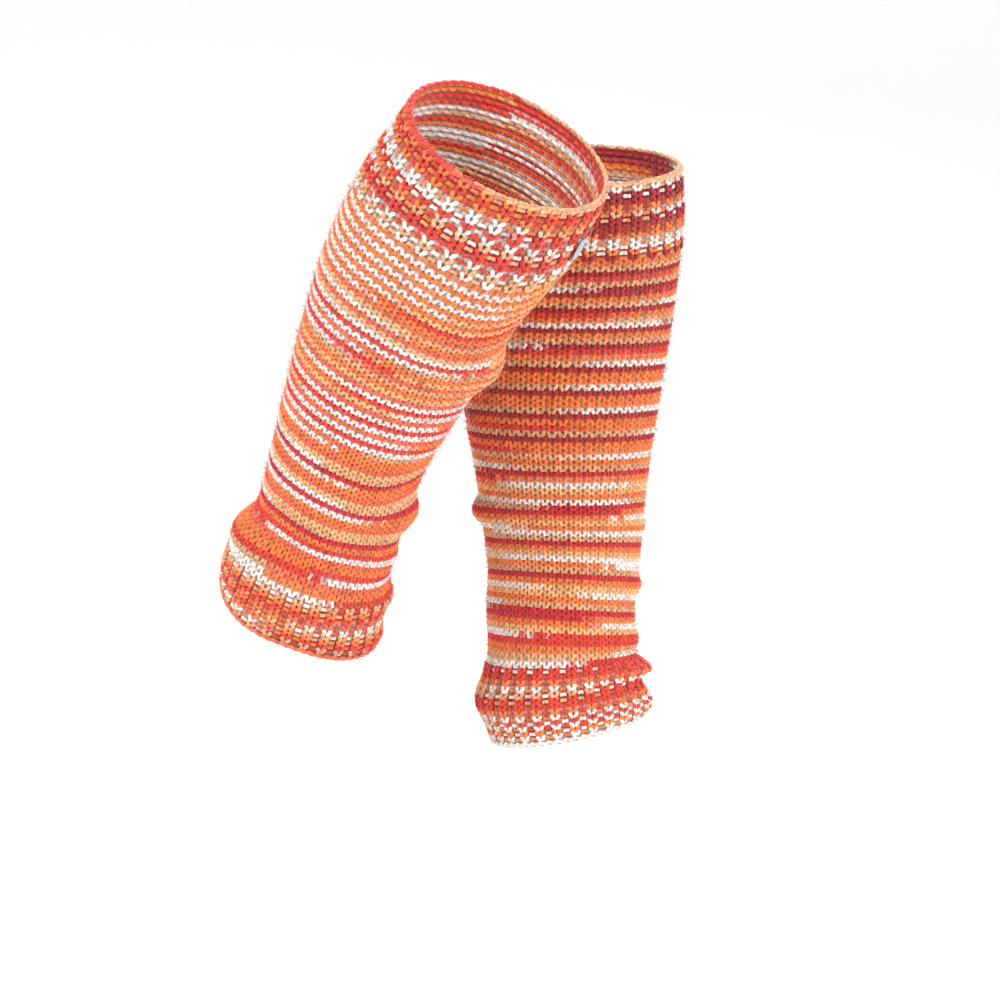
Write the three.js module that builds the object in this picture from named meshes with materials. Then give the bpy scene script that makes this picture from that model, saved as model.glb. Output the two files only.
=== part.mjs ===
// A pair of hand-knitted leg warmers in the hollow form that they have when worn: one leg upright,
// the other bent, leaning forward with its heel raised. Millimetres, +X to the front of the legs,
// +Y to the far side, +Z up. The origin is the middle of the upright leg warmer's top opening.
// Each leg warmer is a ribbed top cuff, a plain knitted leg and a ribbed ankle cuff, open at both
// ends, and the bent one has a small woven label on its top cuff.
import * as THREE from "three";

// The knitted cloth
const WALL = 3;
const SEAM_GAP = 0.3;
const RIBS = 28;
const RIB_HEIGHT = 1.6;
const EDGE_HEIGHT = 4; // bound-off and cast-on edges: a plain bead along each rim
const EDGE_OUT = 1.2;
const EDGE_ROUND = 0.9;

// The mesh
const POINTS_PER_RIB = 3;
const LEG_POINTS = 40;
const LEG_INNER_POINTS = 20;
const CUFF_STEP = 7.5;
const CALF_STEP = 13;
const SLOUCH_STEP = 6.2;

// The label: how far down the cuff its top edge lies, and its size round and down the cuff
const LABEL = { drop: 33, height: 15, turn: -16, width: 19, thickness: 1, columns: 6, rows: 3 };

// form: the outer form, by the drop below the top opening: how far it reaches to the front and back
// rounds: how a knitted round lies: its drop at the axis, how much its front is raised and its near
// side lowered, in degrees
// folds: where the slouched cloth stands out: drop of the crest, its turn round the leg from the
// front (far side 90), the turn over which it fades, how far out it stands, its lengths above and
// below the crest, and how far it sags
// cuffEnd, ankle, end: the drops at the axis where the top cuff ends, the ankle cuff starts and ends
const UPRIGHT = {
  name: "upright",
  place: [0, 0, 0],
  lean: [0, 0],
  cuffEnd: 53,
  slouch: 205,
  ankle: 333,
  end: 381,
  form: [
    { drop: -20, front: 66.5, back: -66 },
    { drop: 10, front: 67.5, back: -67.5 },
    { drop: 30, front: 68.5, back: -70 },
    { drop: 60, front: 67, back: -75 },
    { drop: 90, front: 63.8, back: -78 },
    { drop: 120, front: 59.5, back: -79.5 },
    { drop: 150, front: 54.8, back: -79.5 },
    { drop: 175, front: 51, back: -77 },
    { drop: 200, front: 47.3, back: -72 },
    { drop: 225, front: 44.2, back: -68.5 },
    { drop: 250, front: 42, back: -65 },
    { drop: 275, front: 40, back: -62.5 },
    { drop: 300, front: 37.5, back: -63.5 },
    { drop: 325, front: 38, back: -62.5 },
    { drop: 345, front: 40.5, back: -65 },
    { drop: 360, front: 44, back: -67 },
    { drop: 395, front: 46, back: -58.5 },
  ],
  rounds: [
    { drop: 0, frontUp: 0, nearDown: 10 },
    { drop: 53, frontUp: 0, nearDown: 6.5 },
    { drop: 200, frontUp: 0, nearDown: 5.5 },
    { drop: 255, frontUp: -2, nearDown: 0 },
    { drop: 290, frontUp: -3, nearDown: -5 },
    { drop: 315, frontUp: -2.5, nearDown: -5.5 },
    { drop: 333, frontUp: 3, nearDown: -2 },
    { drop: 381, frontUp: 10.5, nearDown: 1.6 },
  ],
  folds: [
    { drop: 233, turn: 180, fade: 80, out: 6, above: 14, below: 12, sag: 1 },
    { drop: 243, turn: 0, fade: 60, out: 1.8, above: 9, below: 9, sag: 0 },
    { drop: 284, turn: 0, fade: 60, out: 2.8, above: 9, below: 9, sag: 0 },
    { drop: 320, turn: 0, fade: 60, out: 2.4, above: 9, below: 9, sag: 0 },
    { drop: 339, turn: -5, fade: 62, out: 9, above: 7, below: 9, sag: 1 },
    { drop: 361, turn: -5, fade: 70, out: 4.5, above: 11, below: 16, sag: 1 },
    { drop: 361, turn: 185, fade: 85, out: 3.5, above: 20, below: 20, sag: 1 },
  ],
};

const BENT = {
  name: "bent",
  place: [-49, -198, 24],
  lean: [18.5, 22.4],
  cuffEnd: 59,
  slouch: 215,
  ankle: 319.5,
  end: 354.5,
  form: [
    { drop: -20, front: 69, back: -61 },
    { drop: 5, front: 70, back: -64.5 },
    { drop: 20, front: 70.5, back: -67.5 },
    { drop: 40, front: 68.5, back: -72.5 },
    { drop: 60, front: 67, back: -75.5 },
    { drop: 80, front: 62.5, back: -78 },
    { drop: 110, front: 54, back: -78.5 },
    { drop: 140, front: 49, back: -76 },
    { drop: 170, front: 45, back: -72.5 },
    { drop: 200, front: 40.7, back: -68 },
    { drop: 230, front: 37.5, back: -63.5 },
    { drop: 260, front: 38.5, back: -58.5 },
    { drop: 290, front: 41.5, back: -54.5 },
    { drop: 310, front: 45, back: -55 },
    { drop: 325, front: 49, back: -57.5 },
    { drop: 345, front: 52, back: -57.5 },
    { drop: 366, front: 53.5, back: -53 },
  ],
  rounds: [
    { drop: 4, frontUp: -1.6, nearDown: 10 },
    { drop: 59, frontUp: 2.8, nearDown: 6 },
    { drop: 140, frontUp: 1, nearDown: 4 },
    { drop: 240, frontUp: 0, nearDown: 2 },
    { drop: 297, frontUp: -4, nearDown: -5 },
    { drop: 319.5, frontUp: 7, nearDown: 4 },
    { drop: 354.5, frontUp: -3.6, nearDown: 6 },
  ],
  folds: [
    { drop: 147, turn: 0, fade: 65, out: 8, above: 26, below: 22, sag: 0 },
    { drop: 258, turn: 0, fade: 70, out: 6.5, above: 13, below: 22, sag: 1 },
    { drop: 292, turn: 0, fade: 55, out: 1.8, above: 9, below: 10, sag: 0 },
    { drop: 309, turn: 183, fade: 68, out: 8, above: 15, below: 26, sag: 3 },
    { drop: 334, turn: 190, fade: 70, out: 2.5, above: 12, below: 16, sag: 1 },
    { drop: 355, turn: 228, fade: 50, out: 2.5, above: 18, below: 18, sag: 3 },
    { drop: 319, turn: 0, fade: 62, out: 3.5, above: 8, below: 12, sag: 1 },
    { drop: 350, turn: 0, fade: 75, out: 2.5, above: 12, below: 16, sag: 0 },
  ],
};

const SIDE_RATIO = 0.93; // a leg is a little narrower from side to side than from front to back

const rad = THREE.MathUtils.degToRad;

// Value of a table's column at a drop, on a smooth curve through the rows that never overshoots
function along(table, column, drop) {
  const last = table.length - 1;
  if (drop <= table[0].drop) return table[0][column];
  if (drop >= table[last].drop) return table[last][column];
  const row = table.findIndex((r, i) => i < last && drop < table[i + 1].drop);
  const gradient = (i) =>
    (table[i + 1][column] - table[i][column]) / (table[i + 1].drop - table[i].drop);
  const slope = (i) => {
    if (i === 0) return gradient(0);
    if (i === last) return gradient(last - 1);
    const before = gradient(i - 1);
    const after = gradient(i);
    return before * after > 0 ? (2 * before * after) / (before + after) : 0;
  };
  const length = table[row + 1].drop - table[row].drop;
  const t = (drop - table[row].drop) / length;
  const low = table[row][column];
  const high = table[row + 1][column];
  const smooth = t * t * (3 - 2 * t);
  return (
    low + (high - low) * smooth +
    length * t * (1 - t) * ((1 - t) * slope(row) - t * slope(row + 1))
  );
}

// 1 at the middle of a bump, 0 from its end on
function bump(distance) {
  return Math.abs(distance) < 1 ? 0.5 + 0.5 * Math.cos(Math.PI * distance) : 0;
}

// How far the folds push the cloth out at a height and a turn, and how far they let it sag
function foldAt(leg, height, turn) {
  let out = 0;
  let sag = 0;
  for (const fold of leg.folds) {
    const off = THREE.MathUtils.euclideanModulo(turn - fold.turn + 180, 360) - 180;
    const up = height - fold.drop;
    const share = bump(off / fold.fade) * bump(up / (up < 0 ? fold.above : fold.below));
    out += fold.out * share;
    sag += fold.sag * share;
  }
  return { out, sag };
}

// Point of a leg warmer on the knitted round at a drop, a turn round the leg in degrees, and a
// distance out from the plain cloth's outer face
function clothPoint(leg, drop, turn, out) {
  const cosine = Math.cos(rad(turn));
  const sine = Math.sin(rad(turn));
  const span = (at) => {
    const front = along(leg.form, "front", at);
    const back = along(leg.form, "back", at);
    return { middle: (front + back) / 2, half: (front - back) / 2 };
  };
  const round = span(drop);
  const forward = round.middle + round.half * cosine;
  const sideways = SIDE_RATIO * round.half * sine;
  const height =
    drop -
    forward * Math.tan(rad(along(leg.rounds, "frontUp", drop))) -
    sideways * Math.tan(rad(along(leg.rounds, "nearDown", drop)));
  const { middle, half } = span(height);
  const fold = foldAt(leg, height, turn);
  const reach = out + fold.out;
  return [
    middle + (half + reach) * cosine,
    (SIDE_RATIO * half + reach) * sine,
    -height - fold.sag,
  ];
}

// Drops from start to end in equal steps of at most step
function steps(start, end, step) {
  const count = Math.ceil((end - start) / step);
  return Array.from({ length: count + 1 }, (_, i) => start + ((end - start) * i) / count);
}

// A ring of points round the leg; out is a function of the point's number
function ring(leg, drop, count, out) {
  return Array.from({ length: count }, (_, i) =>
    clothPoint(leg, drop, (360 * i) / count, out(i)),
  );
}

// A closed tube from rings of points, given in order round the wall's section: down the outside
// from the top, then up the inside. A ring may have a whole number of times its neighbour's points.
function tubeGeometry(rings) {
  const positions = [];
  const starts = rings.map((points) => {
    const start = positions.length / 3;
    positions.push(...points.flat());
    return start;
  });
  const index = [];
  rings.forEach((upper, i) => {
    const next = (i + 1) % rings.length;
    const lower = rings[next];
    const many = Math.max(upper.length, lower.length);
    const above = (k) => starts[i] + Math.floor((k * upper.length) / many) % upper.length;
    const below = (k) => starts[next] + Math.floor((k * lower.length) / many) % lower.length;
    for (let k = 0; k < many; k++) {
      const corners = [above(k), below(k), below(k + 1), above(k + 1)];
      if (corners[1] !== corners[2]) index.push(corners[0], corners[1], corners[2]);
      if (corners[0] !== corners[3]) index.push(corners[0], corners[2], corners[3]);
    }
  });
  const geometry = new THREE.BufferGeometry();
  geometry.setAttribute("position", new THREE.Float32BufferAttribute(positions, 3));
  geometry.setIndex(index);
  geometry.computeVertexNormals();
  return geometry;
}

// The plain knitted leg between its cuffs
function legGeometry(leg) {
  const start = leg.cuffEnd + SEAM_GAP / 2;
  const end = leg.ankle - SEAM_GAP / 2;
  const drops = [
    ...steps(start, leg.slouch, CALF_STEP),
    ...steps(leg.slouch, end, SLOUCH_STEP).slice(1),
  ];
  const outside = drops.map((drop) => ring(leg, drop, LEG_POINTS, () => 0));
  const inside = drops.map((drop) => ring(leg, drop, LEG_INNER_POINTS, () => -WALL));
  return tubeGeometry([...outside, ...inside.reverse()]);
}

// A ribbed cuff from a start to an end drop. Its rim, at the end that isn't sewn to the leg, has
// the bead of the bound-off or cast-on edge.
function cuffGeometry(leg, start, end, rimAtStart) {
  const plain = (out) => () => out;
  const ribs = (i) => (i % POINTS_PER_RIB === 0 ? 0 : RIB_HEIGHT);
  const rim = rimAtStart ? start : end;
  const inwards = rimAtStart ? 1 : -1;
  const edge = rim + inwards * EDGE_HEIGHT;
  const ribStart = rim + inwards * (EDGE_HEIGHT + EDGE_OUT);
  const seam = rimAtStart ? end : start;
  const ribbed = steps(Math.min(ribStart, seam), Math.max(ribStart, seam), CUFF_STEP);
  const count = RIBS * POINTS_PER_RIB;
  const bead = [
    ring(leg, rim, count, plain(EDGE_OUT - EDGE_ROUND)),
    ring(leg, rim + inwards * EDGE_ROUND, count, plain(EDGE_OUT)),
    ring(leg, edge, count, plain(EDGE_OUT)),
  ];
  const body = ribbed.map((drop) => ring(leg, drop, count, ribs));
  const outside = rimAtStart ? [...bead, ...body] : [...body, ...bead.reverse()];
  const inside = steps(start, end, CUFF_STEP).map((drop) => ring(leg, drop, RIBS, plain(-WALL)));
  return tubeGeometry([...outside, ...inside.reverse()]);
}

// The label: a thin patch made from its cuff's points, moved out past the ribs
function labelGeometry(leg) {
  const across = LABEL.columns + 1;
  const down = LABEL.rows + 1;
  const inner = RIB_HEIGHT + SEAM_GAP;
  const radius = along(leg.form, "front", LABEL.drop);
  const turnOf = (c) =>
    LABEL.turn + THREE.MathUtils.radToDeg(LABEL.width / radius) * (c / LABEL.columns - 0.5);
  const positions = [];
  for (const out of [inner, inner + LABEL.thickness]) {
    for (let r = 0; r < down; r++) {
      for (let c = 0; c < across; c++) {
        const drop = LABEL.drop + (LABEL.height * r) / LABEL.rows;
        positions.push(...clothPoint(leg, drop, turnOf(c), out));
      }
    }
  }
  const index = [];
  const quad = (a, b, c, d) => index.push(a, b, c, a, c, d);
  const back = (r, c) => r * across + c;
  const front = (r, c) => across * down + back(r, c);
  for (let r = 0; r < LABEL.rows; r++) {
    for (let c = 0; c < LABEL.columns; c++) {
      quad(front(r, c), front(r + 1, c), front(r + 1, c + 1), front(r, c + 1));
      quad(back(r, c), back(r, c + 1), back(r + 1, c + 1), back(r + 1, c));
    }
    quad(back(r, 0), back(r + 1, 0), front(r + 1, 0), front(r, 0));
    const last = LABEL.columns;
    quad(front(r, last), front(r + 1, last), back(r + 1, last), back(r, last));
  }
  for (let c = 0; c < LABEL.columns; c++) {
    const last = LABEL.rows;
    quad(back(0, c), front(0, c), front(0, c + 1), back(0, c + 1));
    quad(front(last, c), back(last, c), back(last, c + 1), front(last, c + 1));
  }
  const geometry = new THREE.BufferGeometry();
  geometry.setAttribute("position", new THREE.Float32BufferAttribute(positions, 3));
  geometry.setIndex(index);
  geometry.computeVertexNormals();
  return geometry;
}

const ribWool = new THREE.MeshStandardMaterial({ color: 0xdc6a3c, roughness: 0.9, metalness: 0 });
const plainWool = new THREE.MeshStandardMaterial({ color: 0xe0824c, roughness: 0.9, metalness: 0 });
const wovenTape = new THREE.MeshStandardMaterial({ color: 0xb9b7bd, roughness: 0.6, metalness: 0 });

function mesh(name, geometry, material) {
  const made = new THREE.Mesh(geometry, material);
  made.name = name;
  return made;
}

// One leg warmer, in its own group
function legWarmer(leg) {
  const group = new THREE.Group();
  const topCuff = cuffGeometry(leg, leg.rounds[0].drop, leg.cuffEnd - SEAM_GAP / 2, true);
  const ankleCuff = cuffGeometry(leg, leg.ankle + SEAM_GAP / 2, leg.end, false);
  group.add(mesh(leg.name + "_top_cuff", topCuff, ribWool));
  group.add(mesh(leg.name + "_leg", legGeometry(leg), plainWool));
  group.add(mesh(leg.name + "_ankle_cuff", ankleCuff, ribWool));
  group.position.set(...leg.place);
  group.rotation.set(rad(leg.lean[0]), rad(leg.lean[1]), 0);
  return group;
}

const pair = new THREE.Group();
const upright = legWarmer(UPRIGHT);
const bent = legWarmer(BENT);
bent.add(mesh("bent_label", labelGeometry(BENT), wovenTape));
pair.add(upright, bent);

export default pair;
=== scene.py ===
"""Looks of a pair of hand-knitted leg warmers: every stitch is modelled in space-dyed yarn."""
import math

import bpy
import numpy as np
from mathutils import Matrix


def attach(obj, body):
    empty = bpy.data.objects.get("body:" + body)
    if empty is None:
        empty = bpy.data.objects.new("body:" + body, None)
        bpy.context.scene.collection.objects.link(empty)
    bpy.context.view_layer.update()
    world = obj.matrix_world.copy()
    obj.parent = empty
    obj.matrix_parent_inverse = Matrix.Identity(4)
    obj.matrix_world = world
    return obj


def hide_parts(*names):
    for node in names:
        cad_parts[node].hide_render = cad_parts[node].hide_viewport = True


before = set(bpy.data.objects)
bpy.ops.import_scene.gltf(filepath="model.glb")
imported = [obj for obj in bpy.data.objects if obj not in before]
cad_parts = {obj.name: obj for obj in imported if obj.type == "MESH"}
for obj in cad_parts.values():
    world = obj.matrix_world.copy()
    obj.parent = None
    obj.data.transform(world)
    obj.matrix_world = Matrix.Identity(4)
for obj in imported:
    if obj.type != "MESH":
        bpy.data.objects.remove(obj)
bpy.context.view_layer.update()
scene = bpy.context.scene

# Lengths are in millimetres unless a comment says otherwise, and Blender's are in metres.
MM = 0.001

# The knitting. A row is a round of stitches, and a wale is a column of them.
STITCHES = 56  # in every round
TOP_ROUNDS = 13  # rounds of a top cuff
INNER_ROUNDS = 36  # rounds below a top cuff whose inside is modelled too
ROUND_START = 90.0  # where the rounds start, in degrees from the front: the far side
LEVEL_ROUNDS = 4  # rounds at each rim over which the spiral of rounds comes level
ROW_HEIGHT = 3.6  # of a round near a rim
EDGE_HEIGHT = 4.0  # of the chain edge at each rim
KNIT_WALES = np.arange(1, STITCHES, 2)  # the wales on the ribs of a cuff
PURL_WALES = np.arange(0, STITCHES, 2)  # the wales in its furrows
ALL_WALES = np.arange(STITCHES)

# The cloth
WALL = 3.0  # its thickness
SIDE_RATIO = 0.93  # width from side to side over width from front to back
SEAM_GAP = 0.3  # between the cloths of a cuff and the leg
RIM_INSET = 1.5  # from a rim to the end of the cloth, which the chain edge covers
CLOTH_STEP = 3  # between the rings of the cloth
PLAIN_DEPTH = -1.3  # of the cloth's outer face behind plain stitches
RIB_DEPTHS = (-1.5, -1.1, -0.7, -1.1)  # the same from one furrow over a rib to the next
INNER_DEPTH = -2.3  # of the cloth's inner face
GROUND_PAINTED_SHADE = 0.5  # share of the yarn's colour kept on the cloth behind the stitches: painted shade in the gaps between them
INSIDE_PAINTED_SHADE = 0.8  # the same on the cloth's inner face inside the tube: milder painted shade
COVER_ROW = 0.3  # rounds by which a stitch hangs below its own row, on average

# The two leg warmers. Their forms and folds are as in the part's source. Drops are down from the
# top opening, and turns are in degrees from the front towards the far side.
# seed: each piece draws from this number plus its own
# cuff_end, ankle, end: drops at which the top cuff, the leg and the ankle cuff end
# place: the middle of the top opening; lean: degrees about x and about y
# flats: girth and length in metres of the flat cloth of the top cuff, leg and ankle cuff
# form: drop, reach to the front, reach to the back
# rounds: drop, degrees that the front is raised, degrees that the near side is lowered
# folds and creases: drop and turn of the middle, degrees to where it fades out, how far it
# stands out, its reach above and below, and how far the cloth sags
# sways: drop and turn of the middle, degrees to where it fades out, its reach above and below,
# and how much lower the rounds hang there
UPRIGHT = {
    "name": "upright",
    "seed": 100,
    "place": (0, 0, 0),
    "lean": (0, 0),
    "cuff_end": 53,
    "ankle": 333,
    "end": 381,
    "leg_rounds": 72,
    "ankle_rounds": 13,
    "flats": ((0.40, 0.053), (0.37, 0.285), (0.32, 0.048)),
    "form": (
        (-20, 66.5, -66), (10, 67.5, -67.5), (30, 68.5, -70), (60, 67, -75),
        (90, 63.8, -78), (120, 59.5, -79.5), (150, 54.8, -79.5), (175, 51, -77),
        (200, 47.3, -72), (225, 44.2, -68.5), (250, 42, -65), (275, 40, -62.5),
        (300, 37.5, -63.5), (325, 38, -62.5), (345, 40.5, -65), (360, 44, -67),
        (395, 46, -58.5),
    ),
    "rounds": (
        (0, 0, 10), (53, 0, 6.5), (85, 0, 3), (125, 0, -1), (215, 0, -1.5), (250, -1, -5),
        (270, -2, -7.5), (300, -3, -6), (318, -2, -5), (333, 3, -2), (381, 10.5, 1.6),
    ),
    "folds": (
        (233, 180, 80, 6, 14, 12, 1), (243, 0, 60, 1.8, 9, 9, 0), (284, 0, 60, 2.8, 9, 9, 0),
        (320, 0, 60, 2.4, 9, 9, 0), (339, -5, 62, 9, 7, 9, 1), (361, -5, 70, 4.5, 11, 16, 1),
        (361, 185, 85, 3.5, 20, 20, 1),
    ),
    "creases": (
        (150, 95, 50, 1.2, 14, 16, 0), (222, 200, 40, -1.6, 7, 7, 0),
        (262, 60, 35, -1.5, 6, 7, 0), (262, 150, 45, 1.4, 8, 8, 0),
        (300, 120, 40, 1.5, 7, 9, 0), (304, 245, 45, -1.3, 6, 6, 0),
        (318, 40, 35, 1.6, 7, 7, 0), (350, 100, 40, 1.5, 7, 7, 0),
    ),
    "sways": (),
}
BENT = {
    "name": "bent",
    "seed": 200,
    "place": (-49, -198, 24),
    "lean": (18.5, 22.4),
    "cuff_end": 59,
    "ankle": 319.5,
    "end": 354.5,
    "leg_rounds": 68,
    "ankle_rounds": 9,
    "flats": ((0.40, 0.055), (0.37, 0.265), (0.32, 0.036)),
    "form": (
        (-20, 69, -61), (5, 70, -64.5), (20, 70.5, -67.5), (40, 68.5, -72.5),
        (60, 67, -75.5), (80, 62.5, -78), (110, 54, -78.5), (140, 49, -76),
        (170, 45, -72.5), (200, 40.7, -68), (230, 37.5, -63.5), (260, 38.5, -58.5),
        (290, 41.5, -54.5), (310, 45, -55), (325, 49, -57.5), (345, 52, -57.5),
        (366, 53.5, -53),
    ),
    "rounds": (
        (4, -1.6, 10), (59, 2.8, 6), (140, 1, 4), (240, 0, 2), (297, -1, -3),
        (319.5, 5, 3.5), (354.5, -3.6, 6),
    ),
    "folds": (
        (147, 0, 65, 8, 26, 22, 0), (258, 0, 70, 6.5, 13, 22, 1), (292, 0, 55, 1.8, 9, 10, 0),
        (309, 183, 68, 8, 15, 26, 3), (334, 190, 70, 2.5, 12, 16, 1),
        (355, 228, 50, 2.5, 18, 18, 3), (319, 0, 62, 3.5, 8, 12, 1),
        (350, 0, 75, 2.5, 12, 16, 0),
    ),
    "creases": (
        (160, 100, 50, 1.4, 14, 16, 0), (240, 200, 40, -1.5, 8, 8, 0),
        (262, 95, 40, -1.6, 7, 8, 0), (272, 300, 35, -1.6, 7, 7, 0),
        (280, 130, 40, 1.8, 8, 9, 0), (300, 236, 30, -2.5, 6, 7, 0),
        (315, 60, 40, 1.8, 8, 8, 0),
    ),
    "sways": (
        (75, 303, 75, 65, 110, 12), (240, 345, 60, 45, 60, -9), (294, 195, 60, 50, 24, 4),
        (285, 258, 45, 30, 30, 3),
    ),
}
FORM_DROPS = np.arange(-60.0, 460.0, 0.5)  # where the curves of a form are worked out

# The yarn's dyes, as the eye sees them
DYES = {
    "white": (0.97, 0.93, 0.90),
    "tan": (0.91, 0.68, 0.51),
    "apricot": (0.99, 0.73, 0.50),
    "orange": (0.98, 0.51, 0.26),
    "coral": (0.96, 0.45, 0.32),
    "red": (0.91, 0.26, 0.21),
    "crimson": (0.83, 0.18, 0.22),
    "maroon": (0.70, 0.17, 0.20),
}
# The yarn is space-dyed: a short run of dyes comes again and again, and each stretch of the leg
# warmer has its own. Columns: how many times, and the dyes with their lengths in stitches.
UPRIGHT["dyeing"] = (
    (1, "tan 64"),
    (2, "white 40, maroon 116, orange 60, tan 40"),
    (1, "white 100, orange 36"),
    (6, "maroon 64, red 20, orange 50, tan 43, white 22"),
    (4, "maroon 68, orange 36, white 17, red 14, orange 38, tan 28, white 24"),
    (5, "orange 50, white 26, tan 50, crimson 60, orange 60, white 16, apricot 60, white 26"),
    (1, "red 70, orange 50, tan 60, white 50"),
    (2, "red 124, orange 76, white 34, tan 34"),
    (1, "red 50, white 50, orange 60, white 150"),
)
BENT["dyeing"] = (
    (1, "red 28, tan 30, orange 36"),
    (3, "red 84, orange 36, white 48, tan 30, white 22"),
    (6, "white 22, apricot 30, orange 33, red 25"),
    (2, "white 28, orange 36, coral 52, apricot 44, tan 20"),
    (6, "white 27, orange 34, red 28, apricot 32, white 21, coral 50, tan 28"),
    (3, "white 24, orange 62, red 30, coral 46, apricot 60, white 20, tan 40, crimson 46"),
    (2, "orange 70, red 66, white 22, tan 28, coral 44, white 14"),
    (4, "orange 44, white 20, red 34, tan 30, coral 22"),
)
DYE_SPREAD = 0.07  # how much the lengths of the runs vary, as a share
DYE_FADE = 1.5  # stitches from a change of dye to where the new one is full
YARN_SHIFT = 1.2  # stitches by which the dye comes early or late in a lobe
MARL_SPREAD = 0.09  # how much darker or lighter a lobe is than the dye, as a share
MARL_RANGE = (0.75, 1.2)

# A lobe is the part of a loop of yarn that shows: rings of points round its middle line,
# closed by a point at each end. Each ring is (share of the length, share of the radius).
LOBE_RINGS = ((0.22, 0.86), (0.78, 0.86))
LOBE_SIDES = 6
CELL_MARGIN = 0.12  # round each lobe's place on the map, as a share of its cell

# A knit stitch is two arms in a V. An arm goes from the V's top over its crest to its point.
# crest: how far the arms stand out from the plain cloth; spread: from the V's middle to the top
# of an arm, in stitches; dip: from the crest to the arm's top; wide: the arm's half width
RIB_HEIGHT = 1.6
PLAIN_KNIT = {"crest": 0.5, "spread": 0.44, "dip": 3.2, "wide": 1.5}
RIB_KNIT = {"crest": RIB_HEIGHT, "spread": 0.47, "dip": 2.4, "wide": 1.75}
ARM_TOP_ROW = -0.22
ARM_CREST_ROW = 0.36
ARM_POINT_ROW = 1.14
ARM_CREST_SHARE = 0.56  # spread at the crest, as a share of that at the top
ARM_CREST_EXTRA = 0.02  # more spread at the crest, in stitches
ARM_POINT_SPREAD = 0.05
ARM_POINT_DIP = 2.5
ARM_THICK = 1.35  # half the thickness, so the middle line is this far below the crest
ARM_PLACE = 0.25  # stitches along the yarn from the V's point to an arm's middle
ARM_RUN = 0.5  # stitches along the yarn from an arm's top to its point

# A purl stitch is one level lobe.
# deep: height out from its crest to its middle line, less than 0 on the outside; reach: half
# its length, in stitches; rounds_back: the outside shows the head of the round before's loop
FURROW_PURL = {"crest": 0.3, "deep": -1.3, "reach": 0.5, "rounds_back": 1}
INNER_PURL = {"crest": -WALL, "deep": 0.8, "reach": 0.6, "rounds_back": 0}
PURL_END_ROW = 0.75
PURL_MIDDLE_ROW = 0.38
PURL_END_SHARE = 1.6  # of deep, at the lobe's two ends
PURL_MIDDLE_SHARE = 0.85  # of deep, at its middle
PURL_WIDE = 1.5
PURL_THICK = 1.25
LEVEL_RUN = 0.9  # stitches of yarn in a level lobe

# The chain edge has two strands of level lobes. Columns: rows past the rim and height out at a
# lobe's start, middle and end.
CHAIN_STRANDS = ((0.15, -0.2, 0.35, 0.0, 0.7, -0.8), (0.45, -2.4, 0.75, -1.9, 0.6, -1.0))
CHAIN_REACH = 0.62
CHAIN_WIDE = 1.6
CHAIN_THICK = 1.45

# How uneven the stitches are: ROW in rounds, COLUMN, ARM and REACH in stitches
ROW_SLACK = 0.05
COLUMN_SLACK = 0.035
ARM_SLACK = 0.015
ARM_CREST_SLACK = 0.08
ARM_WIDTH_SLACK = 0.08
REACH_SLACK = 0.03
PURL_CREST_SLACK = 0.06
PURL_WIDTH_SLACK = 0.07
CHAIN_ROW_SLACK = 0.04
CHAIN_CREST_SLACK = 0.1

# Loose fibres that stand off the yarn
FIBRES = 9000  # on each leg warmer
FIBRE_PAST_RIM = 0.8  # rounds
FIBRE_LENGTH = (1.5, 5.5)
FIBRE_LIE = (0.4, 1.6)  # how far a fibre lies along the cloth, times FIBRE_LINE's
# root, middle and tip: rounds and stitches along the cloth, height out, and the share of the
# length that is added to the height
FIBRE_LINE = ((0, 0, -0.4, 0), (0.25, 0.12, 0.4, 0.35), (0.7, 0.36, 0.5, 0.6))
FIBRE_RADII = (0.1, 0.08)  # at the root and at the middle
FIBRE_CORNERS = ((0.1, 0.1), (0.9, 0.1), (0.5, 0.9))  # of each of its triangles on the map
ASKEW = np.array([0.31, 0.52, 0.8])  # a direction that no fibre has

# The label on the bent leg warmer's top cuff
LABEL_TURN = -16
LABEL_DROP = 33
LABEL_WIDTH = 19.0
LABEL_HEIGHT = 15.0
LABEL_THICK = 0.6
LABEL_LIFT = 0.9  # of its face over the ribs
LABEL_CURL = 0.35
LABEL_COLUMNS = 14
LABEL_ROWS = 10
CUFF_RADIUS = 68  # where the label is sewn on
LABEL_SHARE = 0.48  # of the map's width, for each side of the tape

# The studio, in metres. The tilt is in degrees from looking straight down.
CAMERA_PLACE = (-0.054, -2.6073, 0.0936)
CAMERA_TILT = 83
CAMERA_LENS = 140.33
CAMERA_SENSOR = 36
FLOOR_Z = -0.47
FLOOR_FRONT = -6.0
FLOOR_BACK = 2.2
FLOOR_SIDE = 7.0
SWEEP_RADIUS = 1.6
SWEEP_STEPS = 12
SWEEP_TOP = 6.0
# name, place, size and power of each light
LIGHTS = (
    ("key", (-1.6, -2.2, 1.9), 1.0, 60),
    ("fill", (2.0, -1.8, 0.3), 1.6, 36),
    ("rim", (0.4, 1.8, 1.6), 1.4, 24),
)
LIGHT_TARGET = (-0.06, -0.05, -0.15)
WORLD_STRENGTH = 0.8
MIX_A, MIX_B, MIX_RESULT = 6, 7, 2  # the colour sockets of a Mix node


def bump(distance):
    """1 at the middle of a bump, 0 from its end on."""
    return np.where(np.abs(distance) < 1, 0.5 + 0.5 * np.cos(np.pi * distance), 0)


def around(turn, middle):
    """Degrees from a middle to a turn, the short way round."""
    return (turn - middle + 180) % 360 - 180


def beside(distance, above, below):
    """A distance as a share of the reach on its side."""
    return distance / np.where(distance < 0, above, below)


def unit(vectors):
    return vectors / np.linalg.norm(vectors, axis=-1, keepdims=True)


def linear(colour):
    """Linear light of a colour given as the eye sees it."""
    colour = np.asarray(colour, float)
    return np.where(colour <= 0.04045, colour / 12.92, ((colour + 0.055) / 1.055) ** 2.4)


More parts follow.
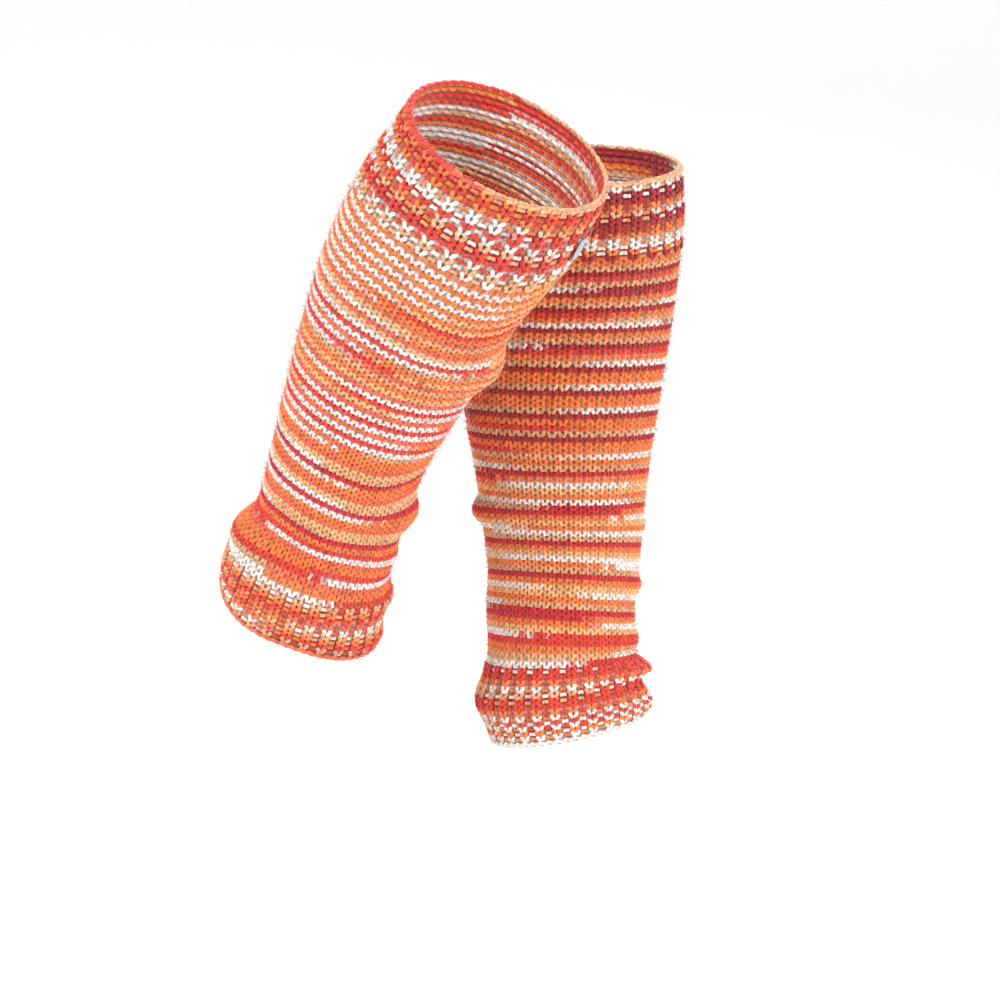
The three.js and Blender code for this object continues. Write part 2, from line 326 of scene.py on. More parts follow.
def lean_rotation(lean):
    """Rotation about y by the second angle and then about x by the first, in degrees."""
    tilt, turn = (math.radians(angle) for angle in lean)
    about_x = np.array([
        [1, 0, 0],
        [0, math.cos(tilt), -math.sin(tilt)],
        [0, math.sin(tilt), math.cos(tilt)],
    ])
    about_y = np.array([
        [math.cos(turn), 0, math.sin(turn)],
        [0, 1, 0],
        [-math.sin(turn), 0, math.cos(turn)],
    ])
    return about_x @ about_y


def smooth(at, values):
    """Values on a curve through a table's rows that never overshoots, at FORM_DROPS."""
    gradient = np.diff(values) / np.diff(at)
    before, after = gradient[:-1], gradient[1:]
    both = before * after
    inner = np.where(both > 0, 2 * both / np.where(both > 0, before + after, 1), 0)
    slope = np.concatenate([gradient[:1], inner, gradient[-1:]])
    x = np.clip(FORM_DROPS, at[0], at[-1])
    row = np.clip(np.searchsorted(at, x, side="right") - 1, 0, len(at) - 2)
    length = at[row + 1] - at[row]
    t = (x - at[row]) / length
    low, high = values[row], values[row + 1]
    straight = low + (high - low) * t * t * (3 - 2 * t)
    return straight + length * t * (1 - t) * ((1 - t) * slope[row] - t * slope[row + 1])


def read(curve, drop):
    """A curve's value at a drop."""
    return np.interp(drop, FORM_DROPS, curve)


class Form:
    """A leg warmer's surface, worked out for whole arrays of points at once."""

    def __init__(self, leg):
        self.leg = leg
        form = np.array(leg["form"], float)
        rounds = np.array(leg["rounds"], float)
        self.front = smooth(form[:, 0], form[:, 1])
        self.back = smooth(form[:, 0], form[:, 2])
        self.front_up = smooth(rounds[:, 0], rounds[:, 1])
        self.near_down = smooth(rounds[:, 0], rounds[:, 2])
        self.rotation = lean_rotation(leg["lean"])
        self.place = np.array(leg["place"], float)
        self.waist = TOP_ROUNDS + leg["leg_rounds"]  # the first round of the ankle cuff
        self.rounds = self.waist + leg["ankle_rounds"]
        self.rim = leg["rounds"][0][0]
        # rows of the knitting and their drops, run on past each rim
        past = EDGE_HEIGHT / ROW_HEIGHT
        self.row_knots = (-past, 0, TOP_ROUNDS, self.waist, self.rounds, self.rounds + past)
        self.drop_knots = (self.rim, self.rim + EDGE_HEIGHT, leg["cuff_end"], leg["ankle"],
                           leg["end"] - EDGE_HEIGHT, leg["end"])

    def span(self, height):
        """Middle of the form from front to back, and half its reach between them."""
        front = read(self.front, height)
        back = read(self.back, height)
        return (front + back) / 2, (front - back) / 2

    def folds(self, height, turn):
        """How far the folds and creases push the cloth out and let it sag."""
        out = np.zeros(height.shape)
        sag = np.zeros(height.shape)
        for at, middle, fade, far, above, below, down in self.leg["folds"] + self.leg["creases"]:
            share = bump(around(turn, middle) / fade) * bump(beside(height - at, above, below))
            out += far * share
            sag += down * share
        return out, sag

    def sway(self, drop, turn):
        """How much lower the rounds hang at a place on the cloth."""
        lower = np.zeros(drop.shape)
        for at, middle, fade, above, below, far in self.leg["sways"]:
            share = bump(around(turn, middle) / fade) * bump(beside(drop - at, above, below))
            lower += far * share
        return lower

    def point(self, drop, turn, out):
        """World place in metres of the cloth on the round at a drop, at a turn in degrees and
        at a distance out from the plain cloth's outer face."""
        drop, turn, out = np.broadcast_arrays(drop, turn, out)
        cosine = np.cos(np.radians(turn))
        sine = np.sin(np.radians(turn))
        middle, half = self.span(drop)
        forward = middle + half * cosine
        sideways = SIDE_RATIO * half * sine
        up = np.tan(np.radians(read(self.front_up, drop)))
        down = np.tan(np.radians(read(self.near_down, drop)))
        height = drop - forward * up - sideways * down + self.sway(drop, turn)
        middle, half = self.span(height)
        fold, sag = self.folds(height, turn)
        reach = out + fold
        local = np.stack([
            middle + (half + reach) * cosine,
            (SIDE_RATIO * half + reach) * sine,
            -height - sag,
        ], -1)
        return (self.place + local @ self.rotation.T) * MM

    def at(self, row, wale, out):
        """World place of a stitch's row and wale, both fractional, at a distance out."""
        drop = np.interp(row, self.row_knots, self.drop_knots)
        return self.point(drop, ROUND_START + 360 * wale / STITCHES, out)

    def spiral(self, row, wale):
        """Row at which a stitch sits: rounds run down in one spiral, level at the two rims."""
        level = np.clip(np.minimum(row, self.rounds - 1 - row) / LEVEL_ROUNDS, 0, 1)
        return row + level * wale / STITCHES


class Yarn:
    """Colour of the yarn at a number of stitches from the top rim."""

    def __init__(self, dyeing, seed):
        runs = []
        for times, repeat in dyeing:
            runs += [run.split() for run in repeat.split(", ")] * times
        colours = np.array([linear(DYES[dye]) for dye, _ in runs])
        lengths = np.array([float(length) for _, length in runs])
        lengths *= np.random.default_rng(seed).normal(1, DYE_SPREAD, len(runs))
        ends = np.cumsum(lengths) - STITCHES  # the rim's chain is the round before the first
        starts = ends - lengths
        self.places = np.stack([starts + DYE_FADE, ends - DYE_FADE], 1).ravel()
        self.colours = np.repeat(colours, 2, axis=0)

    def colour(self, place):
        channels = [np.interp(place, self.places, self.colours[:, k]) for k in range(3)]
        return np.stack(channels, -1)


def new_mesh(name, points, triangles):
    """A smooth mesh object from points in metres and triangles."""
    mesh = bpy.data.meshes.new(name)
    mesh.vertices.add(len(points))
    mesh.vertices.foreach_set("co", np.ascontiguousarray(points, np.float32).ravel())
    mesh.loops.add(triangles.size)
    mesh.loops.foreach_set("vertex_index", np.ascontiguousarray(triangles, np.int32).ravel())
    mesh.polygons.add(len(triangles))
    mesh.polygons.foreach_set("loop_start", np.arange(0, triangles.size, 3, dtype=np.int32))
    mesh.polygons.foreach_set("use_smooth", np.ones(len(triangles), bool))
    mesh.update(calc_edges=True)
    made = bpy.data.objects.new(name, mesh)
    scene.collection.objects.link(made)
    return made


def set_colours(made, colours, domain):
    """Stores the yarn's colour on each point or each corner; on the cloth it is darkened as
    painted shade.
    """
    attribute = made.data.attributes.new("dye", "FLOAT_COLOR", domain)
    filled = np.concatenate([colours, np.ones((len(colours), 1))], 1)
    attribute.data.foreach_set("color", np.ascontiguousarray(filled, np.float32).ravel())


def set_map(made, name, places):
    """Stores a map's place for each corner of the triangles."""
    layer = made.data.uv_layers.new(name=name)
    layer.data.foreach_set("uv", np.ascontiguousarray(places, np.float32).ravel())


def lobe_template():
    """Place along and round a lobe and radius of each of its points, its triangles, and the
    place along and round it of each triangle's corners."""
    sides = LOBE_SIDES
    points = [(0.0, 0.0, 0.0)]
    for share, width in LOBE_RINGS:
        points += [(share, 2 * math.pi * k / sides, width) for k in range(sides)]
    points.append((1.0, 0.0, 0.0))
    last = len(points) - 1
    triangles = []
    corners = []

    def add(*indexed):
        triangles.append([index for index, _ in reversed(indexed)])
        corners.extend([(points[index][0], turn) for index, turn in reversed(indexed)])

    for k in range(sides):
        here, there = k / sides, (k + 1) / sides
        low, low_next = 1 + k, 1 + (k + 1) % sides
        high, high_next = low + sides, low_next + sides
        add((0, (here + there) / 2), (low_next, there), (low, here))
        add((low, here), (low_next, there), (high_next, there))
        add((low, here), (high_next, there), (high, here))
        add((last, (here + there) / 2), (high, here), (high_next, there))
    return np.array(points), np.array(triangles), np.array(corners)


def cells(corners, count):
    """Places of the corners of count lobes or fibres on a map, each in its own cell."""
    across = math.ceil(math.sqrt(count))
    down = math.ceil(count / across)
    cell = np.arange(count)
    low = np.stack([cell % across / across, cell // across / down], -1)
    inside = CELL_MARGIN + (1 - 2 * CELL_MARGIN) * corners
    return (low[:, None] + inside[None] / (across, down)).reshape(-1, 2)


class Lobes:
    """Collects lobes on a form, each from its start over its middle to its end, which are
    (row, wale, out) each, and makes them one mesh."""

    def __init__(self, form, yarn, seed):
        self.form = form
        self.yarn = yarn
        self.seed = seed
        self.parts = []

    def add(self, start, middle, end, wide, thick, place, run):
        """wide and thick are radii along and out of the cloth; place is where the lobe's
        middle is along the yarn, and run how far the yarn goes from its start to its end."""
        arrays = np.broadcast_arrays(*start, *middle, *end, wide, thick, place, run)
        self.parts.append([np.asarray(a, float).ravel() for a in arrays])

    def places(self, columns, points):
        """World place of each point of each lobe."""
        first = self.form.at(*columns[0:3])
        mid = self.form.at(*columns[3:6])
        last = self.form.at(*columns[6:9])
        above = self.form.at(columns[3], columns[4], columns[5] + 1)
        wide, thick = columns[9:11]
        t = points[None, :, 0, None]
        bow = mid - (first + last) / 2
        line = first[:, None] * (1 - t) + last[:, None] * t + bow[:, None] * 4 * t * (1 - t)
        side = unit(np.cross(above - mid, last - first))
        up = unit(np.cross(last - first, side))
        across = wide[:, None, None] * (np.sin(points[:, 1]) * points[:, 2])[None, :, None]
        lift = thick[:, None, None] * (np.cos(points[:, 1]) * points[:, 2])[None, :, None]
        return line + (side[:, None] * across + up[:, None] * lift) * MM

    def colours(self, columns, points):
        """Colour of each point of each lobe."""
        place, run = columns[11:13]
        rng = np.random.default_rng(self.seed)
        shift = rng.normal(0, YARN_SHIFT, (len(place), 1))
        along = place[:, None] + shift + run[:, None] * (points[None, :, 0] - 0.5)
        marl = rng.normal(1, MARL_SPREAD, (len(place), 1)).clip(*MARL_RANGE)
        return self.yarn.colour(along) * marl[:, :, None]

    def make(self, name):
        columns = [np.concatenate(column) for column in zip(*self.parts)]
        count = len(columns[0])
        points, triangles, corners = lobe_template()
        index = triangles[None] + (np.arange(count) * len(points))[:, None, None]
        places = self.places(columns, points)
        made = new_mesh(name, places.reshape(-1, 3), index.reshape(-1, 3))
        set_colours(made, self.colours(columns, points).reshape(-1, 3), "POINT")
        set_map(made, "OFBake", cells(corners, count))
        set_map(made, "Ply", np.tile(corners, (count, 1)))
        return made


def stitches(rows, wales):
    """Row and wale of every stitch of a field."""
    row, wale = np.meshgrid(rows, wales, indexing="ij")
    return row.astype(float), wale.astype(float)


def unevenness(rng, shape):
    """A function that draws an error of a given size for each of an array of stitches."""
    return lambda size: rng.normal(0, size, shape)


def knit(lobes, rows, wales, kind, seed):
    """Knit stitches: two lobes each, in a V with its point down."""
    row, wale = stitches(rows, wales)
    rng = np.random.default_rng(seed)
    base = lobes.form.spiral(row, wale)
    middle = wale + rng.normal(0, COLUMN_SLACK, STITCHES)[wale.astype(int)]
    loose = unevenness(rng, row.shape)
    crest = kind["crest"]
    crest_spread = ARM_CREST_SHARE * kind["spread"] + ARM_CREST_EXTRA
    for side in (-1, 1):
        lobes.add(
            (
                base + ARM_TOP_ROW + loose(ROW_SLACK),
                middle + side * kind["spread"],
                crest - kind["dip"],
            ),
            (
                base + ARM_CREST_ROW + loose(ROW_SLACK),
                middle + side * crest_spread + loose(ARM_SLACK),
                crest - ARM_THICK + loose(ARM_CREST_SLACK),
            ),
            (
                base + ARM_POINT_ROW + loose(ROW_SLACK),
                middle + side * ARM_POINT_SPREAD,
                crest - ARM_POINT_DIP,
            ),
            kind["wide"] + loose(ARM_WIDTH_SLACK),
            ARM_THICK,
            row * STITCHES + wale + ARM_PLACE * side,
            ARM_RUN * side,
        )


def purl(lobes, rows, wales, kind, seed):
    """Purl stitches: one level lobe each, on the outside or the inside of the cloth."""
    row, wale = stitches(rows, wales)
    rng = np.random.default_rng(seed)
    base = lobes.form.spiral(row, wale)
    loose = unevenness(rng, row.shape)
    reach = kind["reach"] + loose(REACH_SLACK)
    end_out = kind["crest"] + PURL_END_SHARE * kind["deep"]
    middle_out = kind["crest"] + PURL_MIDDLE_SHARE * kind["deep"]
    lobes.add(
        (base + PURL_END_ROW + loose(ROW_SLACK), wale - reach, end_out),
        (base + PURL_MIDDLE_ROW + loose(ROW_SLACK), wale, middle_out + loose(PURL_CREST_SLACK)),
        (base + PURL_END_ROW + loose(ROW_SLACK), wale + reach, end_out),
        PURL_WIDE + loose(PURL_WIDTH_SLACK),
        PURL_THICK,
        (row - kind["rounds_back"]) * STITCHES + wale,
        LEVEL_RUN,
    )


def chain(lobes, at_top, seed):
    """The bound-off or cast-on edge: two strands of a chain along the rim."""
    wale = ALL_WALES.astype(float)
    loose = unevenness(np.random.default_rng(seed), wale.shape)
    way = -1 if at_top else 1
    rim = 0 if at_top else lobes.form.rounds
    colour_row = -1 if at_top else lobes.form.rounds
    for row0, out0, row1, out1, row2, out2 in CHAIN_STRANDS:
        lobes.add(
            (rim + way * (row0 + loose(CHAIN_ROW_SLACK)), wale - CHAIN_REACH, out0),
            (rim + way * (row1 + loose(CHAIN_ROW_SLACK)), wale, out1 + loose(CHAIN_CREST_SLACK)),
            (rim + way * (row2 + loose(CHAIN_ROW_SLACK)), wale + CHAIN_REACH, out2),
            CHAIN_WIDE,
            CHAIN_THICK,
            colour_row * STITCHES + wale,
            LEVEL_RUN,
        )


def shell(form, yarn, name, start, end, ribbed):
    """The cloth's ground behind the stitches: a thin closed tube between two drops, coloured
    with painted shade.
    """
    steps = int((end - start) / CLOTH_STEP)
    count = 2 * STITCHES
    drops = np.linspace(start, end, steps)
    turns = ROUND_START + 360 * np.arange(count) / count
    depths = np.array(RIB_DEPTHS if ribbed else [PLAIN_DEPTH])
    depth = depths[np.arange(count) % len(depths)]
    outer = form.point(drops[:, None], turns[None], depth[None])
    inner = form.point(drops[::-1, None], turns[None], INNER_DEPTH)
    rings = np.concatenate([outer, inner])
    tall = len(rings)
    i, k = np.meshgrid(np.arange(tall), np.arange(count), indexing="ij")
    here = i * count + k
    right = i * count + (k + 1) % count
    below = (i + 1) % tall * count + k
    cross = (i + 1) % tall * count + (k + 1) % count
    triangles = np.stack([np.stack([here, below, cross], -1),
                          np.stack([here, cross, right], -1)], 2)
    made = new_mesh(name, rings.reshape(-1, 3), triangles.reshape(-1, 3))
    # row, wale and level of each corner of the two triangles of each square
    rows = np.interp(np.concatenate([drops, drops[::-1]]), form.drop_knots, form.row_knots)
    next_row = rows[(i + 1) % tall]
    wale = k / 2
    row_of = np.stack([rows[i], next_row, next_row, rows[i], next_row, rows[i]], -1)
    wale_of = np.stack([wale, wale, wale + 0.5, wale, wale + 0.5, wale + 0.5], -1)
    level = np.stack([i, i + 1, i + 1, i, i + 1, i], -1) / tall
    place = np.round(row_of - COVER_ROW).clip(0) * STITCHES + wale_of
    # the cloth's colour is the yarn's darkened as painted shade: deeply on the outer face behind
    # the stitches, less on the inner face inside the tube
    shade = np.where(i < steps, GROUND_PAINTED_SHADE, INSIDE_PAINTED_SHADE).ravel().repeat(6)
    set_colours(made, shade[:, None] * yarn.colour(place.ravel()), "CORNER")
    set_map(made, "OFBake", np.stack([wale_of / STITCHES, level], -1).reshape(-1, 2))
    set_map(made, "Round", np.stack([wale_of, row_of], -1).reshape(-1, 2))
    return made


def needle_triangles():
    """Triangles of a three-sided needle with a ring at its root and its middle, and a tip."""
    triangles = []
    for k in range(3):
        after = (k + 1) % 3
        triangles += [(k, after, 3 + after), (k, 3 + after, 3 + k), (3 + k, 3 + after, 6)]
    triangles.append((2, 1, 0))
    return np.array(triangles)


def nap(form, yarn, name, seed):
    """Loose fibres that stand off the yarn, as fine three-sided needles."""
    rng = np.random.default_rng(seed)
    row = rng.uniform(-FIBRE_PAST_RIM, form.rounds + FIBRE_PAST_RIM, FIBRES)
    wale = rng.uniform(0, STITCHES, FIBRES)
    length = rng.uniform(*FIBRE_LENGTH, FIBRES)
    slant = rng.uniform(0, 2 * math.pi, FIBRES)
    lie = rng.uniform(*FIBRE_LIE, FIBRES)
    line = []
    for down, along, out, rise in FIBRE_LINE:
        line.append(form.at(row + down * lie * np.sin(slant), wale + along * lie * np.cos(slant),
                            out + rise * length))
    first = unit(line[1] - line[0])
    side = unit(np.cross(first, ASKEW))
    other = np.cross(first, side)
    points = []
    for middle, radius in zip(line, FIBRE_RADII):
        for k in range(3):
            angle = 2 * math.pi * k / 3
            ring = side * math.cos(angle) + other * math.sin(angle)
            points.append(middle + ring * radius * MM)
    points.append(line[2])
    places = np.stack(points, 1)
    triangles = needle_triangles()
    index = triangles[None] + (np.arange(FIBRES) * len(points))[:, None, None]
    made = new_mesh(name, places.reshape(-1, 3), index.reshape(-1, 3))
    place = np.round(row).clip(0) * STITCHES + wale
    set_colours(made, np.repeat(yarn.colour(place), len(points), axis=0), "POINT")
    corners = np.tile(FIBRE_CORNERS, (len(triangles), 1))
    set_map(made, "OFBake", cells(corners, FIBRES))
    set_map(made, "Ply", np.tile(corners, (FIBRES, 1)))
    return made


def set_inputs(node, values):
    """Sets the values of a node's input sockets, by their names."""
    for socket, value in values.items():
        node.inputs[socket].default_value = value


def new_node(nodes, kind, values):
    """A shader node with the values of its input sockets."""
    made = nodes.new("ShaderNode" + kind)
    set_inputs(made, values)
    return made


def dye_node(nodes):
    made = nodes.new("ShaderNodeAttribute")
    made.attribute_name = "dye"
    return made


def map_node(nodes, name):
    made = nodes.new("ShaderNodeUVMap")
    made.uv_map = name
    return made


def mix_node(nodes, blend, share):
    made = nodes.new("ShaderNodeMix")
    made.data_type = "RGBA"
    made.blend_type = blend
    made.inputs["Factor"].default_value = share
    return made


def principled(name, values):
    """A material with the values of its shader's sockets."""
    material = bpy.data.materials.new(name)
    material.use_nodes = True
    set_inputs(material.node_tree.nodes["Principled BSDF"], values)
    return material


def yarn_material():
    """Soft wool yarn: the dye's colour, uneven uptake, the twist of its plies with painted shade
    in the furrows between them, and fine fuzz.
    """
    material = principled("wool_yarn", {
        "Roughness": 0.88,
        "Specular IOR Level": 0.25,
        "Sheen Weight": 0.45,
        "Sheen Roughness": 0.45,
        "Sheen Tint": (1.0, 0.93, 0.86, 1),
    })
    nodes = material.node_tree.nodes
    links = material.node_tree.links
    shader = nodes["Principled BSDF"]

    dye = dye_node(nodes)
    place = nodes.new("ShaderNodeTexCoord")
    uptake = new_node(nodes, "TexNoise", {"Scale": 420, "Detail": 3})
    links.new(place.outputs["Object"], uptake.inputs["Vector"])
    shade = new_node(nodes, "MapRange", {
        "From Min": 0.3,
        "From Max": 0.7,
        "To Min": 0.76,
        "To Max": 1.2,
    })
    links.new(uptake.outputs["Fac"], shade.inputs["Value"])
    dyed = nodes.new("ShaderNodeHueSaturation")
    links.new(dye.outputs["Color"], dyed.inputs["Color"])
    links.new(shade.outputs["Result"], dyed.inputs["Value"])

    ply_map = map_node(nodes, "Ply")
    slant = new_node(nodes, "Mapping", {"Scale": (2.0, 2.0, 1.0)})
    links.new(ply_map.outputs["UV"], slant.inputs["Vector"])
    twist = new_node(nodes, "TexWave", {"Scale": 0.45, "Distortion": 0.8})
    twist.bands_direction = "DIAGONAL"
    links.new(slant.outputs["Vector"], twist.inputs["Vector"])
    # painted shade: the furrows between the plies are darker
    furrow = new_node(nodes, "MapRange", {"From Max": 0.6, "To Min": 0.66, "To Max": 1.04})
    links.new(twist.outputs["Fac"], furrow.inputs["Value"])
    ply_shaded = nodes.new("ShaderNodeHueSaturation")
    links.new(dyed.outputs["Color"], ply_shaded.inputs["Color"])
    links.new(furrow.outputs["Result"], ply_shaded.inputs["Value"])
    links.new(ply_shaded.outputs["Color"], shader.inputs["Base Color"])

    plies = new_node(nodes, "Bump", {"Strength": 0.6, "Distance": 0.0004})
    links.new(twist.outputs["Fac"], plies.inputs["Height"])
    fibres = new_node(nodes, "TexNoise", {"Scale": 1900, "Detail": 2})
    links.new(place.outputs["Object"], fibres.inputs["Vector"])
    fuzz = new_node(nodes, "Bump", {"Strength": 0.8, "Distance": 0.0004})
    links.new(fibres.outputs["Fac"], fuzz.inputs["Height"])
    links.new(plies.outputs["Normal"], fuzz.inputs["Normal"])
    links.new(fuzz.outputs["Normal"], shader.inputs["Normal"])
    return material


def ground_material():
    """The cloth behind the stitches and inside the tubes, with the purl side's small bars and
    painted shade in the gaps between them.
    """
    material = principled("wool_ground", {
        "Roughness": 0.95,
        "Specular IOR Level": 0.2,
        "Sheen Weight": 0.3,
        "Sheen Roughness": 0.5,
    })
    nodes = material.node_tree.nodes
    links = material.node_tree.links
    shader = nodes["Principled BSDF"]

    # the cloth's 'dye' attribute is the yarn's colour already darkened as painted shade
    dye = dye_node(nodes)
    round_map = map_node(nodes, "Round")
    bars = new_node(nodes, "TexBrick", {
        "Scale": 1.0,
        "Brick Width": 1.0,
        "Row Height": 1.0,
        "Mortar Size": 0.16,
        "Mortar Smooth": 1.0,
        "Color1": (1, 1, 1, 1),
        "Color2": (1, 1, 1, 1),
        "Mortar": (0.35, 0.35, 0.35, 1),
    })
    bars.offset = 0.0
    links.new(round_map.outputs["UV"], bars.inputs["Vector"])
    # the mortar's grey, multiplied into the colour, is painted shade in the gaps between the
    # bars
    shade = mix_node(nodes, "MULTIPLY", 0.8)
    links.new(dye.outputs["Color"], shade.inputs[MIX_A])
    links.new(bars.outputs["Color"], shade.inputs[MIX_B])
    links.new(shade.outputs[MIX_RESULT], shader.inputs["Base Color"])
    relief = new_node(nodes, "Bump", {"Strength": 0.9, "Distance": 0.0012})
    links.new(bars.outputs["Color"], relief.inputs["Height"])
    links.new(relief.outputs["Normal"], shader.inputs["Normal"])
    return material


def label_material():
    """Bare woven tape with a satin shine."""
    material = principled("woven_tape", {"Roughness": 0.42, "Sheen Weight": 0.2})
    nodes = material.node_tree.nodes
    links = material.node_tree.links
    shader = nodes["Principled BSDF"]

    place = map_node(nodes, "OFBake")
    weave = new_node(nodes, "TexChecker", {
        "Scale": 44,
        "Color1": (0.33, 0.33, 0.36, 1),
        "Color2": (0.46, 0.46, 0.49, 1),
    })
    links.new(place.outputs["UV"], weave.inputs["Vector"])
    cloud = new_node(nodes, "TexNoise", {"Scale": 9})
    links.new(place.outputs["UV"], cloud.inputs["Vector"])
    mix = mix_node(nodes, "SOFT_LIGHT", 0.5)
    links.new(weave.outputs["Color"], mix.inputs[MIX_A])
    links.new(cloud.outputs["Color"], mix.inputs[MIX_B])
    links.new(mix.outputs[MIX_RESULT], shader.inputs["Base Color"])
    relief = new_node(nodes, "Bump", {"Strength": 0.5, "Distance": 0.0002})
    links.new(weave.outputs["Fac"], relief.inputs["Height"])
    links.new(relief.outputs["Normal"], shader.inputs["Normal"])
    return material


WOOL = yarn_material()
GROUND = ground_material()


def finish_piece(made, material):
    """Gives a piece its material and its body."""
    made.data.materials.append(material)
    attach(made, "root")
    return made


def top_cuff_stitches(form, yarn, name, seed):
    """The top cuff's ribs and furrows under its bound-off edge."""
    lobes = Lobes(form, yarn, seed + 12)
    rows = np.arange(0, TOP_ROUNDS)
    chain(lobes, at_top=True, seed=seed)
    knit(lobes, rows, KNIT_WALES, RIB_KNIT, seed + 1)
    purl(lobes, rows, PURL_WALES, FURROW_PURL, seed + 2)
    return finish_piece(lobes.make(name + "_top_rib_stitches"), WOOL)


def leg_stitches(form, yarn, name, seed):
    """The plain leg's stitches, in an upper and a lower piece."""
    half = (TOP_ROUNDS + form.waist) // 2
    upper = Lobes(form, yarn, seed + 13)
    knit(upper, np.arange(TOP_ROUNDS, half), ALL_WALES, PLAIN_KNIT, seed + 3)
    upper_piece = finish_piece(upper.make(name + "_upper_stitches"), WOOL)
    lower = Lobes(form, yarn, seed + 14)
    knit(lower, np.arange(half, form.waist), ALL_WALES, PLAIN_KNIT, seed + 4)
    lower_piece = finish_piece(lower.make(name + "_lower_stitches"), WOOL)
    return [upper_piece, lower_piece]


def ankle_cuff_stitches(form, yarn, name, seed):
    """The ankle cuff's ribs and furrows over its cast-on edge."""
    lobes = Lobes(form, yarn, seed + 15)
    rows = np.arange(form.waist, form.rounds)
    knit(lobes, rows, KNIT_WALES, RIB_KNIT, seed + 5)
    purl(lobes, rows, PURL_WALES, FURROW_PURL, seed + 6)
    chain(lobes, at_top=False, seed=seed + 7)
    return finish_piece(lobes.make(name + "_ankle_rib_stitches"), WOOL)


def inner_stitches(form, yarn, name, seed):
    """The insides of the top cuff and of the upper leg, one piece each."""
    cuff = Lobes(form, yarn, seed + 12)
    purl(cuff, np.arange(0, TOP_ROUNDS), ALL_WALES, INNER_PURL, seed + 8)
    cuff_piece = finish_piece(cuff.make(name + "_inner_rib_stitches"), WOOL)
    leg = Lobes(form, yarn, seed + 16)
    purl(leg, np.arange(TOP_ROUNDS, TOP_ROUNDS + INNER_ROUNDS), ALL_WALES, INNER_PURL, seed + 9)
    leg_piece = finish_piece(leg.make(name + "_inner_stitches"), WOOL)
    return cuff_piece, leg_piece


def leg_warmer(leg):
    """Makes all the pieces of one leg warmer and returns its form."""
    seed = leg["seed"]
    name = leg["name"]
    form = Form(leg)
    yarn = Yarn(leg["dyeing"], seed + 11)
    top = top_cuff_stitches(form, yarn, name, seed)
    outside = leg_stitches(form, yarn, name, seed)
    ankle = ankle_cuff_stitches(form, yarn, name, seed)
    inner_top, inner = inner_stitches(form, yarn, name, seed)
    fuzz = finish_piece(nap(form, yarn, name + "_nap", seed + 10), WOOL)
    gap = SEAM_GAP / 2
    # name, first and last drop, whether it is ribbed, and the pieces on it
    parts = (
        ("_top_cuff", form.rim + RIM_INSET, leg["cuff_end"] - gap, True, [top, inner_top]),
        ("_leg", leg["cuff_end"] + gap, leg["ankle"] - gap, False, outside + [inner, fuzz]),
        ("_ankle_cuff", leg["ankle"] + gap, leg["end"] - RIM_INSET, True, [ankle]),
    )
    for (part, start, end, ribbed, on_it), flat in zip(parts, leg["flats"]):
        cloth = shell(form, yarn, name + part + "_cloth", start, end, ribbed)
        finish_piece(cloth, GROUND)
        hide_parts(name + part)
    return form


def tape_faces(columns, rows):
    """Triangles of a tape's face, back and border over two grids of points, and the place of
    each triangle's corners on the map."""
    triangles = []
    places = []
    size = columns * rows

    def square(a, b, c, d, corners):
        triangles.extend([(a, b, c), (a, c, d)])
        places.extend([corners[0], corners[1], corners[2], corners[0], corners[2], corners[3]])

    for i in range(rows - 1):
        for k in range(columns - 1):
            a = i * columns + k
            u, v = k / (columns - 1), i / (rows - 1)
            du, dv = 1 / (columns - 1), 1 / (rows - 1)
            corners = [(u, v), (u, v + dv), (u + du, v + dv), (u + du, v)]
            front = [(x * LABEL_SHARE, y) for x, y in corners]
            square(a, a + columns, a + columns + 1, a + 1, front)
            back = [(1 - LABEL_SHARE + x * LABEL_SHARE, y) for x, y in corners]
            square(size + a, size + a + 1, size + a + columns + 1, size + a + columns,
                   [back[0], back[3], back[2], back[1]])
    border = ([i * columns for i in range(rows)]
              + [(rows - 1) * columns + k for k in range(1, columns)]
              + [i * columns + columns - 1 for i in range(rows - 2, -1, -1)]
              + [k for k in range(columns - 2, 0, -1)])
    strip = [(0.49, 0), (0.51, 0), (0.51, 1), (0.49, 1)]
    for here, after in zip(border, border[1:] + border[:1]):
        square(here, here + size, after + size, after, strip)
    return np.array(triangles), np.array(places)


def label(form):
    """The small bare tape label on the front of the bent leg warmer's top cuff."""
    turn_span = math.degrees(LABEL_WIDTH / CUFF_RADIUS)
    turns = LABEL_TURN + turn_span * (np.linspace(0, 1, LABEL_COLUMNS) - 0.5)
    drops = LABEL_DROP + LABEL_HEIGHT * np.linspace(0, 1, LABEL_ROWS)
    curl = LABEL_CURL * np.cos(np.linspace(-1, 1, LABEL_COLUMNS) * math.pi)
    face_out = RIB_HEIGHT + LABEL_LIFT
    face = form.point(drops[:, None], turns[None], face_out + curl[None])
    back = form.point(drops[:, None], turns[None], face_out - LABEL_THICK + curl[None])
    points = np.concatenate([face.reshape(-1, 3), back.reshape(-1, 3)])
    triangles, places = tape_faces(LABEL_COLUMNS, LABEL_ROWS)
    made = new_mesh("bent_label_tape", points, triangles)
    set_map(made, "OFBake", places)
    finish_piece(made, label_material())
    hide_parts("bent_label")


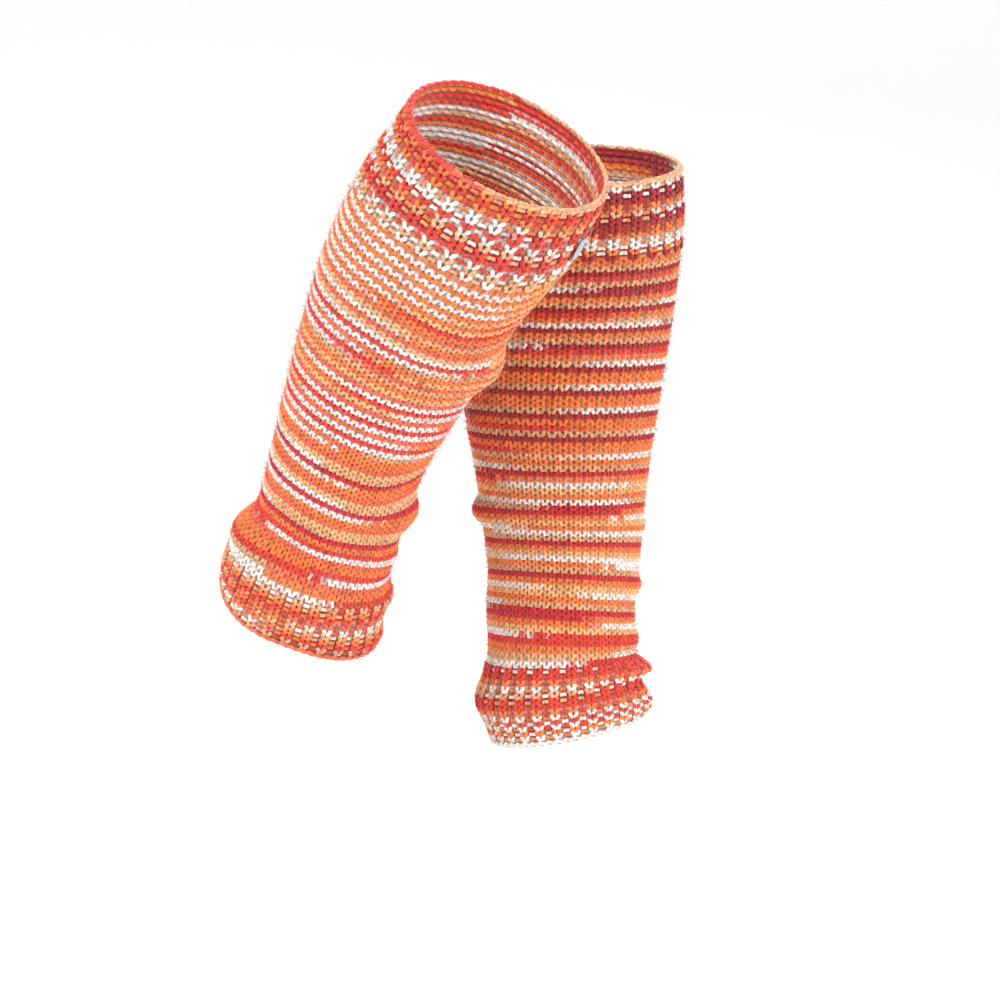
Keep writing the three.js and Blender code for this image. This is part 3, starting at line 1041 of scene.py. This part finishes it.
def camera():
    data = bpy.data.cameras.new("camera")
    data.lens = CAMERA_LENS
    data.sensor_width = CAMERA_SENSOR
    made = bpy.data.objects.new("camera", data)
    made.location = CAMERA_PLACE
    made.rotation_euler = (math.radians(CAMERA_TILT), 0, 0)
    scene.collection.objects.link(made)
    scene.camera = made


def floor():
    """A pale floor that curves up into the background."""
    profile = [(FLOOR_FRONT, 0.0), (FLOOR_BACK, 0.0)]
    for k in range(1, SWEEP_STEPS + 1):
        angle = math.radians(90 * k / SWEEP_STEPS)
        profile.append((FLOOR_BACK + SWEEP_RADIUS * math.sin(angle),
                        SWEEP_RADIUS * (1 - math.cos(angle))))
    profile.append((FLOOR_BACK + SWEEP_RADIUS, SWEEP_TOP))
    points = []
    for y, z in profile:
        points += [(-FLOOR_SIDE, y, FLOOR_Z + z), (FLOOR_SIDE, y, FLOOR_Z + z)]
    faces = [(2 * k, 2 * k + 1, 2 * k + 3, 2 * k + 2) for k in range(len(profile) - 1)]
    mesh = bpy.data.meshes.new("floor")
    mesh.from_pydata(points, [], faces)
    mesh.polygons.foreach_set("use_smooth", np.ones(len(faces), bool))
    mesh.materials.append(principled("pale_floor", {
        "Base Color": (0.93, 0.93, 0.94, 1),
        "Roughness": 0.7,
    }))
    made = bpy.data.objects.new("floor", mesh)
    scene.collection.objects.link(made)


def light(name, place, size, power):
    """A soft square light at a place, facing the middle of the part."""
    data = bpy.data.lights.new(name, "AREA")
    data.shape = "SQUARE"
    data.size = size
    data.energy = power
    made = bpy.data.objects.new(name, data)
    made.location = place
    toward = np.array(LIGHT_TARGET) - np.array(place)
    yaw = math.atan2(toward[1], toward[0])
    pitch = math.acos(-toward[2] / np.linalg.norm(toward))
    made.rotation_euler = (pitch, 0, yaw - math.pi / 2)
    scene.collection.objects.link(made)


def studio():
    world = bpy.data.worlds.new("studio")
    world.use_nodes = True
    set_inputs(world.node_tree.nodes["Background"], {
        "Color": (1, 1, 1, 1),
        "Strength": WORLD_STRENGTH,
    })
    scene.world = world
    for name, place, size, power in LIGHTS:
        light(name, place, size, power)
    scene.view_settings.view_transform = "Standard"
    scene.view_settings.look = "None"


camera()
floor()
studio()
leg_warmer(UPRIGHT)
bent_form = leg_warmer(BENT)
label(bent_form)
